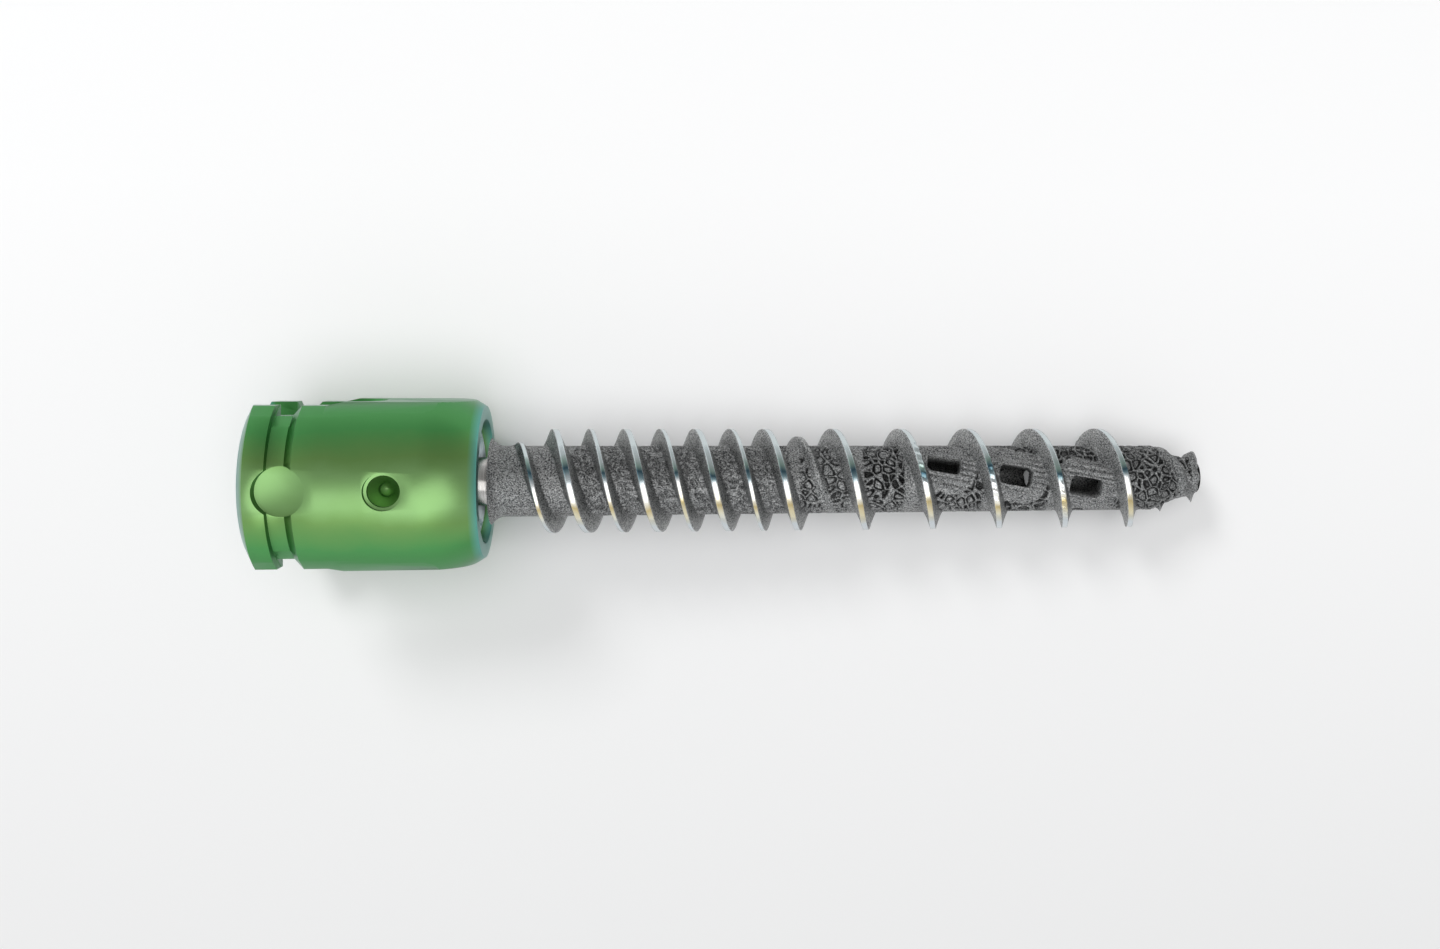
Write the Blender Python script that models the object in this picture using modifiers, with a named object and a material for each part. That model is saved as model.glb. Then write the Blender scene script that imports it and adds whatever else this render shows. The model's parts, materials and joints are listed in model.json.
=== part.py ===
"""Sacroiliac fusion implant: a threaded, porous fusion sleeve on a solid fixation post, whose ball head
turns in a two-armed tulip head for a spinal rod.

The implant frame has its origin at the ball's centre, +X along the shaft towards the tip, and the two
arms of the tulip at +Z and -Z. The rest frame then lays the implant on a flat surface at Z = 0.
"""

import math

import bmesh
import bpy
from mathutils import Matrix, Vector

MM = 0.001

# Clearances
SEAT_GAP = 0.3 * MM
RUNNING_GAP = 0.3 * MM
GUIDE_GAP = 0.3 * MM

# Fixation post: ball head, drive socket, solid core
BALL_RADIUS = 4.9 * MM
BALL_TOP_FLAT = 4.1 * MM
CORE_RADIUS = 2.4 * MM
CORE_LENGTH = 35.5 * MM
CANNULA_RADIUS = 0.9 * MM
SOCKET_ACROSS_FLATS = 4.0 * MM
SOCKET_DEPTH = 3.6 * MM

# Fusion sleeve: collar, neck, root, tip
COLLAR_FROM_BALL = 6.65 * MM
COLLAR_RADIUS = 4.3 * MM
NECK_RADIUS = 3.53 * MM
FLARE_LENGTH = 1.45 * MM
ROOT_RADIUS = 3.4 * MM
SLEEVE_LENGTH = 73.01 * MM
HOLLOW_RADIUS = 1.9 * MM
TIP_LENGTH = 5.0 * MM
TIP_TAPER = 2.6 * MM
TIP_RADIUS = 2.3 * MM
TIP_ROUND = 0.7 * MM
TIP_WALL = 1.5 * MM

# Thread: two starts in the proximal half, one after that
LEAD = 7.0 * MM
CREST_RADIUS = 5.2 * MM
WIDE_CREST = 0.55 * MM
THIN_CREST = 0.35 * MM
WIDE_FOOT = 1.9 * MM
THIN_FOOT = 1.3 * MM
RIDGE_SINK = 0.5 * MM
FIRST_CREST = 6.15 * MM
WIDE_RUN_IN = (-0.42, -0.08)
WIDE_RUN_OUT_TO_TIP = 7.36 * MM
WIDE_RUN_OUT_LENGTH = 2.8 * MM
WIDE_END_TO_TIP = 1.06 * MM
THIN_SPAN = (-0.48, 4.1)
THIN_RUN_IN = 0.45
THIN_RUN_OUT = 1.0
TIP_RIDGE_TO_TIP = 4.9 * MM
TIP_RIDGE_LENGTH = 4.5 * MM
TIP_RIDGE_HEIGHT = 0.45 * MM

# Windows through the sleeve, along the valley of the thread
WINDOW_LENGTH = 3.4 * MM
WINDOW_WIDTH = 1.8 * MM
WINDOW_SLOPE = math.radians(10.0)
WINDOW_LAST_TO_TIP = 9.21 * MM
WINDOW_STEP = 0.53125
WINDOW_COUNT = 6
WINDOW_AFTER_CREST = 2.96 * MM

# Tulip head
HEAD_RADIUS = 9.27 * MM
HEAD_ABOVE_BALL = 15.3 * MM
MOUTH_BELOW_BALL = 6.1 * MM
PROXIMAL_FLAT_HALF = 7.75 * MM
FLAT_HALF = 8.08 * MM
FLAT_BEVEL_DEPTH = 0.9 * MM
FLAT_BEVEL_DROP = 0.25 * MM
STEP_START = 7.35 * MM
STEP_LENGTH = 1.35 * MM
RIM_RADIUS = 7.52 * MM
DOME_LENGTH = 5.4 * MM
END_CHAMFER_RADIAL = 1.66 * MM
END_CHAMFER_AXIAL = 0.9 * MM
SLOT_WIDTH = 6.0 * MM
SLOT_DEPTH = 12.1 * MM
BORE_RADIUS = 5.5 * MM
BORE_CHAMFER = 0.4 * MM
MOUTH_RADIUS = 5.6 * MM
MOUTH_CHAMFER_RADIAL = 0.6 * MM
MOUTH_CHAMFER_AXIAL = 1.0 * MM
NOTCH_HALF = 0.35 * MM

# Instrument groove, pockets and stake holes on the arms
GROOVE_START = 2.79 * MM
GROOVE_FLOOR = 1.51 * MM
GROOVE_DEPTH = 0.87 * MM
SIDE_GROOVE_DEPTH = 0.97 * MM
GROOVE_LAP = 0.04 * MM
POCKET_RADIUS = 2.35 * MM
POCKET_DEPTH = 1.27 * MM
POCKET_FROM_END = 4.04 * MM
STAKE_FROM_END = 13.22 * MM
STAKE_RADIUS = 1.785 * MM
STAKE_LEDGE_DEPTH = 0.65 * MM
STAKE_CONE_RADIUS = 1.5 * MM
STAKE_CONE_DEPTH = 1.1 * MM
PUNCH_RADIUS = 0.69 * MM
PUNCH_DEPTH = 1.25 * MM

# Retaining collet
COLLET_RADIUS = 6.5 * MM
COLLET_NOSE_RADIUS = 5.3 * MM
COLLET_ABOVE_BALL = 0.5 * MM
COLLET_THROAT = 2.8 * MM
COLLET_MOUTH_RADIUS = 4.5 * MM
COLLET_LEAD_IN = 0.3 * MM
COLLET_SLOTS = 8
COLLET_SLOT_WIDTH = 0.5 * MM
COLLET_RING = 1.5 * MM
TILT_LIMIT = math.radians(12.0)

# Pressure saddle
SADDLE_FLOOR = 0.8 * MM
SADDLE_SKIRT = 2.2 * MM
SADDLE_HOLE_RADIUS = 2.6 * MM
ROD_CHANNEL_RADIUS = 2.8 * MM
SADDLE_EAR = 0.4 * MM

# Facets
HEAD_FACETS = 56
SHAFT_FACETS = 24
HOLE_FACETS = 24
ARC_STEPS = 6

# Worked out from the sizes above
SEAT_RADIUS = BALL_RADIUS + SEAT_GAP
BAY_RADIUS = COLLET_RADIUS + RUNNING_GAP
SADDLE_RADIUS = BORE_RADIUS - GUIDE_GAP
SLEEVE_BORE = CORE_RADIUS + RUNNING_GAP
TIP_X = COLLAR_FROM_BALL + SLEEVE_LENGTH
CORE_END = COLLAR_FROM_BALL + CORE_LENGTH
HEAD_END = -HEAD_ABOVE_BALL
DOME_START = MOUTH_BELOW_BALL - DOME_LENGTH
BAY_START = -COLLET_ABOVE_BALL - RUNNING_GAP
SADDLE_HOLE_X = -math.sqrt(SEAT_RADIUS ** 2 - SADDLE_HOLE_RADIUS ** 2)
ROD_SEAT = SADDLE_HOLE_X - SADDLE_FLOOR
ROD_AXIS = ROD_SEAT - ROD_CHANNEL_RADIUS
SADDLE_TOP = ROD_AXIS - SADDLE_EAR
FIRST_CREST_X = COLLAR_FROM_BALL + FIRST_CREST
WIDE_FULL_END = (TIP_X - WIDE_RUN_OUT_TO_TIP - FIRST_CREST_X) / LEAD
WIDE_FADE_END = WIDE_FULL_END + WIDE_RUN_OUT_LENGTH / LEAD
WIDE_END = (TIP_X - WIDE_END_TO_TIP - FIRST_CREST_X) / LEAD
TIP_RIDGE_START = (TIP_X - TIP_RIDGE_TO_TIP - FIRST_CREST_X) / LEAD
TIP_RIDGE_END = TIP_RIDGE_START + TIP_RIDGE_LENGTH / LEAD
REACH = HEAD_RADIUS * 2.0


def clear_scene():
    for obj in list(bpy.data.objects):
        bpy.data.objects.remove(obj, do_unlink=True)


def make_collection(name):
    collection = bpy.data.collections.new(name)
    bpy.context.scene.collection.children.link(collection)
    return collection


def add_mesh(name, mesh, collection):
    obj = bpy.data.objects.new(name, mesh)
    collection.objects.link(obj)
    return obj


def hide_cutter(obj):
    obj.hide_render = True
    obj.display_type = 'WIRE'
    return obj


def turned(name, outline, facets, collection):
    """Turn a closed outline of (x, radius) points about the X axis with a Screw modifier."""
    mesh = bpy.data.meshes.new(name + "_profile")
    points = [(radius, 0.0, x) for x, radius in outline]
    count = len(points)
    closed = all(radius > 0.0 for x, radius in outline)
    edges = [(i, i + 1) for i in range(count - 1)]
    if closed:
        edges.append((count - 1, 0))
    mesh.from_pydata(points, edges, [])
    profile = bpy.data.objects.new(name + "_profile", mesh)
    bpy.context.scene.collection.objects.link(profile)
    screw = profile.modifiers.new("turn", 'SCREW')
    screw.steps = facets
    screw.render_steps = facets
    screw.use_merge_vertices = True
    screw.merge_threshold = 0.000001
    depsgraph = bpy.context.evaluated_depsgraph_get()
    solid = bpy.data.meshes.new_from_object(profile.evaluated_get(depsgraph))
    bpy.data.objects.remove(profile, do_unlink=True)
    solid.name = name
    # the turning axis Z becomes X
    solid.transform(Matrix.Rotation(math.radians(90.0), 4, 'Y'))
    bm = bmesh.new()
    bm.from_mesh(solid)
    bmesh.ops.remove_doubles(bm, verts=bm.verts, dist=0.000001)
    bmesh.ops.recalc_face_normals(bm, faces=bm.faces)
    bm.to_mesh(solid)
    bm.free()
    return add_mesh(name, solid, collection)


def arc(centre, radius, start, end, steps=ARC_STEPS):
    """Points (x, r) on a circle; the angle runs from +X towards the +radius direction."""
    points = []
    for i in range(steps + 1):
        angle = start + (end - start) * i / steps
        points.append((centre[0] + radius * math.cos(angle), centre[1] + radius * math.sin(angle)))
    return points


def loft(name, rings, collection):
    """Join equal-length rings of points into one closed solid with flat ends."""
    bm = bmesh.new()
    rows = [[bm.verts.new(point) for point in ring] for ring in rings]
    size = len(rows[0])
    for near_row, far_row in zip(rows, rows[1:]):
        for i in range(size):
            j = (i + 1) % size
            bm.faces.new((near_row[i], near_row[j], far_row[j], far_row[i]))
    bm.faces.new(rows[0])
    bm.faces.new(reversed(rows[-1]))
    bmesh.ops.recalc_face_normals(bm, faces=bm.faces)
    mesh = bpy.data.meshes.new(name)
    bm.to_mesh(mesh)
    bm.free()
    return add_mesh(name, mesh, collection)


def block(name, low, high, collection):
    bm = bmesh.new()
    bmesh.ops.create_cube(bm, size=1.0)
    low = Vector(low)
    high = Vector(high)
    size = high - low
    bmesh.ops.scale(bm, vec=size, verts=bm.verts)
    bmesh.ops.translate(bm, vec=(low + high) / 2.0, verts=bm.verts)
    mesh = bpy.data.meshes.new(name)
    bm.to_mesh(mesh)
    bm.free()
    return add_mesh(name, mesh, collection)


def rod(name, start, end, radius, facets, collection, turn=0.0):
    """A cylinder between two points."""
    start = Vector(start)
    end = Vector(end)
    along = end - start
    bm = bmesh.new()
    bmesh.ops.create_cone(bm, cap_ends=True, segments=facets, radius1=radius, radius2=radius,
                          depth=along.length)
    bmesh.ops.rotate(bm, cent=(0, 0, 0), matrix=Matrix.Rotation(turn, 3, 'Z'), verts=bm.verts)
    aim = along.to_track_quat('Z', 'Y').to_matrix()
    bmesh.ops.rotate(bm, cent=(0, 0, 0), matrix=aim, verts=bm.verts)
    bmesh.ops.translate(bm, vec=(start + end) / 2.0, verts=bm.verts)
    mesh = bpy.data.meshes.new(name)
    bm.to_mesh(mesh)
    bm.free()
    return add_mesh(name, mesh, collection)


def boolean(obj, other, operation):
    modifier = obj.modifiers.new(other.name, 'BOOLEAN')
    modifier.operation = operation
    modifier.solver = 'EXACT'
    modifier.object = other


def cut(obj, cutter):
    hide_cutter(cutter)
    boolean(obj, cutter, 'DIFFERENCE')


def unite(obj, piece):
    hide_cutter(piece)
    boolean(obj, piece, 'UNION')


def keep_inside(obj, limit):
    hide_cutter(limit)
    boolean(obj, limit, 'INTERSECT')


def ramp(value, start, end):
    """0 before start, 1 after end, smooth between them."""
    share = min(max((value - start) / (end - start), 0.0), 1.0)
    return share * share * (3.0 - 2.0 * share)


def crest_x(turns):
    """Place of the wide crest along the shaft, by turns from its first pass at +Y."""
    return FIRST_CREST_X + LEAD * turns


def around(x, radius, turns):
    """A point on the shaft; turns go from +Y towards +Z."""
    angle = 2.0 * math.pi * turns
    return (x, radius * math.cos(angle), radius * math.sin(angle))


def root_radius(x):
    """Radius of the sleeve between its ridges."""
    taper_start = TIP_X - TIP_LENGTH
    if x < taper_start:
        share = (x - COLLAR_FROM_BALL) / (taper_start - COLLAR_FROM_BALL)
        return NECK_RADIUS + (ROOT_RADIUS - NECK_RADIUS) * share
    share = min((x - taper_start) / TIP_TAPER, 1.0)
    return ROOT_RADIUS + (TIP_RADIUS - ROOT_RADIUS) * share


def helical_ridge(name, span, crest, foot, height, collection):
    """A thread ridge over a span of turns; height(turns, x) is its crest radius."""
    start, end = span
    steps = round((end - start) * SHAFT_FACETS)
    spread = 1.0 + RIDGE_SINK / (CREST_RADIUS - ROOT_RADIUS)
    rings = []
    for i in range(steps + 1):
        turns = start + (end - start) * i / steps
        x = crest_x(turns)
        top = height(turns, x)
        low = root_radius(x) - RIDGE_SINK
        half_foot = foot / 2.0 * spread
        rings.append([around(x - half_foot, low, turns), around(x - crest / 2.0, top, turns),
                      around(x + crest / 2.0, top, turns), around(x + half_foot, low, turns)])
    return loft(name, rings, collection)


def wide_height(turns, x):
    """The wide ridge rises on the far side, runs full, and falls to a low ridge on the tip."""
    rise = ramp(turns, WIDE_RUN_IN[0], WIDE_RUN_IN[1])
    fall = 1.0 - ramp(turns, WIDE_FULL_END, WIDE_FADE_END)
    low = root_radius(x) - RIDGE_SINK / 2.0
    if turns > WIDE_FULL_END:
        low = root_radius(x) + TIP_RIDGE_HEIGHT
    return low + (CREST_RADIUS - low) * min(rise, fall)


def thin_height(turns, x):
    """The thin ridge fades out in the middle of the shaft."""
    rise = ramp(turns, THIN_SPAN[0], THIN_SPAN[0] + THIN_RUN_IN)
    fall = 1.0 - ramp(turns, THIN_SPAN[1] - THIN_RUN_OUT, THIN_SPAN[1])
    low = root_radius(x) - RIDGE_SINK / 2.0
    return low + (CREST_RADIUS - low) * min(rise, fall)


def tip_height(turns, x):
    """A second low ridge helps the tip to start in bone."""
    rise = ramp(turns, TIP_RIDGE_START, TIP_RIDGE_START + 0.15)
    low = root_radius(x) - RIDGE_SINK / 2.0
    return low + (TIP_RIDGE_HEIGHT + RIDGE_SINK / 2.0) * rise


def make_fusion_sleeve(parts, cutters):
    start = COLLAR_FROM_BALL
    outline = [(start, 0.0), (start, COLLAR_RADIUS)]
    for i in range(1, ARC_STEPS + 1):
        angle = math.pi / 2.0 * i / ARC_STEPS
        fall = (1.0 - math.sin(angle)) ** 1.5
        radius = NECK_RADIUS + (COLLAR_RADIUS - NECK_RADIUS) * fall
        outline.append((start + FLARE_LENGTH * math.sin(angle), radius))
    taper_start = TIP_X - TIP_LENGTH
    outline += [(taper_start, ROOT_RADIUS), (taper_start + TIP_TAPER, TIP_RADIUS)]
    outline += arc((TIP_X - TIP_ROUND, TIP_RADIUS - TIP_ROUND), TIP_ROUND, math.pi / 2.0, 0.0, 3)
    outline.append((TIP_X, 0.0))
    sleeve = turned("fusion_sleeve", outline, SHAFT_FACETS, parts)

    unite(sleeve, helical_ridge("wide_thread", (WIDE_RUN_IN[0], WIDE_END), WIDE_CREST, WIDE_FOOT,
                                wide_height, cutters))
    thin = helical_ridge("thin_thread", THIN_SPAN, THIN_CREST, THIN_FOOT, thin_height, cutters)
    # the second start is half a turn round from the first
    thin.data.transform(Matrix.Rotation(math.pi, 4, 'X'))
    unite(sleeve, thin)
    tip = helical_ridge("tip_ridge", (TIP_RIDGE_START, TIP_RIDGE_END), WIDE_CREST, WIDE_FOOT, tip_height,
                        cutters)
    tip.data.transform(Matrix.Rotation(math.pi, 4, 'X'))
    unite(sleeve, tip)

    core_room = CORE_END + RUNNING_GAP
    hollow_end = TIP_X - TIP_LENGTH - TIP_WALL
    outline = [(start - LEAD, 0.0), (start - LEAD, SLEEVE_BORE), (core_room, SLEEVE_BORE),
               (core_room, HOLLOW_RADIUS), (hollow_end, HOLLOW_RADIUS),
               (hollow_end + HOLLOW_RADIUS - CANNULA_RADIUS, CANNULA_RADIUS),
               (TIP_X + LEAD, CANNULA_RADIUS), (TIP_X + LEAD, 0.0)]
    bore = turned("sleeve_bore", outline, SHAFT_FACETS, cutters)
    bore.data.transform(Matrix.Rotation(math.pi / SHAFT_FACETS, 4, 'X'))
    cut(sleeve, bore)
    for i in range(WINDOW_COUNT):
        x = TIP_X - WINDOW_LAST_TO_TIP - WINDOW_STEP * LEAD * (WINDOW_COUNT - 1 - i)
        cut(sleeve, window_cutter("window_%d" % (i + 1), x, cutters))
    return sleeve


def window_cutter(name, x, cutters):
    """A rounded slot through the sleeve's wall, between two passes of the wide crest."""
    half = (WINDOW_LENGTH - WINDOW_WIDTH) / 2.0
    radius = WINDOW_WIDTH / 2.0
    ring = []
    for side in (1.0, -1.0):
        for i in range(7):
            angle = -math.pi / 2.0 + math.pi * i / 6.0
            ring.append((side * (half + radius * math.cos(angle)), side * radius * math.sin(angle)))
    inner = CANNULA_RADIUS
    outer = CREST_RADIUS * 1.2
    slope = Matrix.Rotation(-WINDOW_SLOPE, 3, 'Z')
    turns = (x - WINDOW_AFTER_CREST - FIRST_CREST_X) / LEAD
    turn = Matrix.Rotation(2.0 * math.pi * turns - math.pi / 2.0, 3, 'X')
    rings = []
    for height in (inner, outer):
        row = []
        for along, across in ring:
            point = slope @ Vector((along, across, 0.0))
            point = turn @ Vector((point.x, point.y, height))
            row.append((point.x + x, point.y, point.z))
        rings.append(row)
    return loft(name, rings, cutters)


def make_fixation_post(parts, cutters):
    top_angle = math.acos(-BALL_TOP_FLAT / BALL_RADIUS)
    waist_angle = math.asin(CORE_RADIUS / BALL_RADIUS)
    outline = [(-BALL_TOP_FLAT, CANNULA_RADIUS)]
    outline += arc((0.0, 0.0), BALL_RADIUS, top_angle, waist_angle, 2 * ARC_STEPS)
    outline += [(CORE_END, CORE_RADIUS), (CORE_END, CANNULA_RADIUS)]
    post = turned("fixation_post", outline, SHAFT_FACETS, parts)
    post.data.transform(Matrix.Rotation(math.pi / SHAFT_FACETS, 4, 'X'))
    socket = rod("drive_socket", (-BALL_RADIUS * 1.5, 0, 0), (-BALL_TOP_FLAT + SOCKET_DEPTH, 0, 0),
                 SOCKET_ACROSS_FLATS / math.sqrt(3.0), 6, cutters)
    cut(post, socket)
    return post


def make_retaining_collet(parts, cutters):
    top = -COLLET_ABOVE_BALL
    # the nose is a cone that the sleeve's end face comes near at full tilt
    nose = []
    for radius in (COLLET_NOSE_RADIUS, COLLET_MOUTH_RADIUS):
        face = COLLAR_FROM_BALL - RUNNING_GAP - radius * math.sin(TILT_LIMIT)
        nose.append((face / math.cos(TILT_LIMIT), radius))
    shoulder = MOUTH_BELOW_BALL - MOUTH_CHAMFER_AXIAL - 2.0 * RUNNING_GAP
    shoulder -= COLLET_RADIUS - COLLET_NOSE_RADIUS
    outline = [(top, COLLET_RADIUS - COLLET_LEAD_IN), (top + COLLET_LEAD_IN, COLLET_RADIUS),
               (shoulder - RUNNING_GAP, COLLET_RADIUS),
               (shoulder - RUNNING_GAP + COLLET_RADIUS - COLLET_NOSE_RADIUS, COLLET_NOSE_RADIUS)]
    outline += nose
    outline += arc((0.0, 0.0), SEAT_RADIUS, math.acos(COLLET_THROAT / SEAT_RADIUS),
                   math.acos(top / SEAT_RADIUS))
    collet = turned("retaining_collet", outline, HEAD_FACETS, parts)
    for i in range(COLLET_SLOTS):
        slot = block("collet_slot_%d" % (i + 1),
                     (top + COLLET_RING, -COLLET_SLOT_WIDTH / 2.0, BALL_RADIUS / 2.0),
                     (MOUTH_BELOW_BALL + LEAD, COLLET_SLOT_WIDTH / 2.0, COLLET_RADIUS * 1.5), cutters)
        slot.data.transform(Matrix.Rotation(2.0 * math.pi * (i + 0.5) / COLLET_SLOTS, 4, 'X'))
        cut(collet, slot)
    return collet


def flats_limit(name, stations, cutters):
    """A long eight-sided prism that gives the head its side flats; stations are (x, half width, radius)."""
    top = HEAD_RADIUS + STEP_LENGTH
    rings = []
    for x, half, radius in stations:
        near = math.sqrt(radius ** 2 - half ** 2) - FLAT_BEVEL_DROP
        low = half - FLAT_BEVEL_DEPTH
        far = math.sqrt(radius ** 2 - low ** 2)
        slope = (half - low) / (far - near)
        out = half - slope * (top - near)
        rings.append([(x, half, near), (x, out, top), (x, -out, top), (x, -half, near),
                      (x, -half, -near), (x, -out, -top), (x, out, -top), (x, half, -near)])
    return loft(name, rings, cutters)


def make_tulip_head(parts, cutters):
    rise = HEAD_RADIUS - RIM_RADIUS
    dome_radius = (DOME_LENGTH ** 2 + rise ** 2) / (2.0 * rise)
    dome_angle = math.asin(DOME_LENGTH / dome_radius)
    seat_end = MOUTH_BELOW_BALL - MOUTH_CHAMFER_AXIAL - 2.0 * RUNNING_GAP
    seat_start = seat_end - (BAY_RADIUS - MOUTH_RADIUS)
    groove = HEAD_END + GROOVE_START
    groove_end = groove + GROOVE_FLOOR
    slope_end = groove_end + GROOVE_DEPTH
    low = HEAD_RADIUS - GROOVE_DEPTH
    outline = [(HEAD_END, HEAD_RADIUS - END_CHAMFER_RADIAL), (HEAD_END + END_CHAMFER_AXIAL, HEAD_RADIUS),
               (groove, HEAD_RADIUS), (groove, low), (groove_end, low), (slope_end, HEAD_RADIUS)]
    outline += arc((DOME_START, HEAD_RADIUS - dome_radius), dome_radius, math.pi / 2.0,
                   math.pi / 2.0 - dome_angle)
    outline += [(MOUTH_BELOW_BALL, MOUTH_RADIUS + MOUTH_CHAMFER_RADIAL),
                (MOUTH_BELOW_BALL - MOUTH_CHAMFER_AXIAL, MOUTH_RADIUS), (seat_end, MOUTH_RADIUS),
                (seat_start, BAY_RADIUS), (BAY_START, BAY_RADIUS), (BAY_START, BORE_RADIUS),
                (HEAD_END + BORE_CHAMFER, BORE_RADIUS), (HEAD_END, BORE_RADIUS + BORE_CHAMFER)]
    head = turned("tulip_head", outline, HEAD_FACETS, parts)
    # a flat facet, not an edge, lies at the back of each arm
    head.data.transform(Matrix.Rotation(math.pi / HEAD_FACETS, 4, 'X'))

    # the side flats follow the groove and step out towards the base
    step = HEAD_END + STEP_START
    low_half = PROXIMAL_FLAT_HALF - SIDE_GROOVE_DEPTH
    stations = [(HEAD_END - REACH, PROXIMAL_FLAT_HALF, HEAD_RADIUS),
                (groove + GROOVE_LAP, PROXIMAL_FLAT_HALF, HEAD_RADIUS),
                (groove + GROOVE_LAP, low_half, low), (groove_end + GROOVE_LAP, low_half, low),
                (slope_end + GROOVE_LAP, PROXIMAL_FLAT_HALF, HEAD_RADIUS),
                (step, PROXIMAL_FLAT_HALF, HEAD_RADIUS),
                (step + STEP_LENGTH, FLAT_HALF, HEAD_RADIUS), (REACH, FLAT_HALF, HEAD_RADIUS)]
    keep_inside(head, flats_limit("side_flats", stations, cutters))

    slot_half = SLOT_WIDTH / 2.0
    slot_axis = HEAD_END + SLOT_DEPTH - slot_half
    cut(head, block("rod_slot", (HEAD_END - REACH, -REACH, -slot_half), (slot_axis, REACH, slot_half),
                    cutters))
    cut(head, rod("rod_slot_end", (slot_axis, -REACH, 0), (slot_axis, REACH, 0), slot_half,
                  HOLE_FACETS, cutters))

    pocket_x = HEAD_END + POCKET_FROM_END
    floor = HEAD_RADIUS - POCKET_DEPTH
    for side, label in ((1.0, "near"), (-1.0, "far")):
        cut(head, rod("pocket_" + label, (pocket_x, 0, side * floor), (pocket_x, 0, side * REACH),
                      POCKET_RADIUS, HOLE_FACETS, cutters))
        cut(head, stake_cutter("stake_" + label, side, cutters))
        notch_start = MOUTH_BELOW_BALL - MOUTH_CHAMFER_AXIAL
        notch = block("mouth_notch_" + label, (notch_start, -NOTCH_HALF, -NOTCH_HALF),
                      (MOUTH_BELOW_BALL + LEAD, NOTCH_HALF, NOTCH_HALF), cutters)
        notch.data.transform(Matrix.Rotation(math.radians(45.0), 4, 'X'))
        notch.data.transform(Matrix.Translation((0, side * (MOUTH_RADIUS + NOTCH_HALF / 2.0), 0)))
        cut(head, notch)
    return head


def stake_cutter(name, side, cutters):
    """A stepped hole with a conical floor and a punch mark, on one arm."""
    ledge = HEAD_RADIUS - STAKE_LEDGE_DEPTH
    cone_end = ledge - STAKE_CONE_DEPTH
    outline = [(REACH, 0.0), (REACH, STAKE_RADIUS), (ledge, STAKE_RADIUS), (ledge, STAKE_CONE_RADIUS),
               (cone_end, PUNCH_RADIUS), (cone_end - PUNCH_DEPTH, PUNCH_RADIUS * 0.8),
               (cone_end - PUNCH_DEPTH, 0.0)]
    hole = turned(name, outline, HOLE_FACETS, cutters)
    hole.data.transform(Matrix.Rotation(-side * math.pi / 2.0, 4, 'Y'))
    hole.data.transform(Matrix.Translation((HEAD_END + STAKE_FROM_END, 0, 0)))
    return hole


def make_pressure_saddle(parts, cutters):
    outline = [(SADDLE_TOP, SADDLE_HOLE_RADIUS), (SADDLE_TOP, SADDLE_RADIUS), (-SADDLE_SKIRT, SADDLE_RADIUS)]
    outline += arc((0.0, 0.0), SEAT_RADIUS, math.acos(-SADDLE_SKIRT / SEAT_RADIUS),
                   math.acos(SADDLE_HOLE_X / SEAT_RADIUS))
    saddle = turned("pressure_saddle", outline, HEAD_FACETS, parts)
    cut(saddle, rod("rod_channel", (ROD_AXIS, -REACH, 0), (ROD_AXIS, REACH, 0), ROD_CHANNEL_RADIUS,
                    HOLE_FACETS, cutters))
    cut(saddle, block("rod_channel_mouth", (ROD_AXIS - REACH, -REACH, -ROD_CHANNEL_RADIUS),
                      (ROD_AXIS, REACH, ROD_CHANNEL_RADIUS), cutters))
    return saddle


def add_material(obj, name, colour, metallic, roughness):
    material = bpy.data.materials.new(name)
    material.use_nodes = True
    shader = material.node_tree.nodes["Principled BSDF"]
    shader.inputs["Base Color"].default_value = (*colour, 1.0)
    shader.inputs["Metallic"].default_value = metallic
    shader.inputs["Roughness"].default_value = roughness
    obj.data.materials.clear()
    obj.data.materials.append(material)


def add_empty(name, collection, parent=None):
    empty = bpy.data.objects.new(name, None)
    empty.empty_display_size = BALL_RADIUS
    collection.objects.link(empty)
    empty.parent = parent
    return empty


def rest_angle():
    """Lean of the shaft when the lower arm's back and a crest near the tip touch the surface."""
    last_turn = math.floor(WIDE_FULL_END - 0.75) + 0.75
    reach = crest_x(last_turn) - DOME_START
    return math.asin((HEAD_RADIUS - CREST_RADIUS) / reach)


def lay_down(rest, objects):
    """Set the implant on the surface Z = 0, with the middle of its outline over the origin."""
    rest.rotation_euler = (0.0, rest_angle(), 0.0)
    bpy.context.view_layer.update()
    depsgraph = bpy.context.evaluated_depsgraph_get()
    points = []
    for obj in objects:
        evaluated = obj.evaluated_get(depsgraph)
        points += [obj.matrix_world @ vertex.co for vertex in evaluated.data.vertices]
    low = [min(point[i] for point in points) for i in range(3)]
    high = [max(point[i] for point in points) for i in range(3)]
    rest.location = (-(low[0] + high[0]) / 2.0, -(low[1] + high[1]) / 2.0, -low[2])
    bpy.context.view_layer.update()


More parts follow.
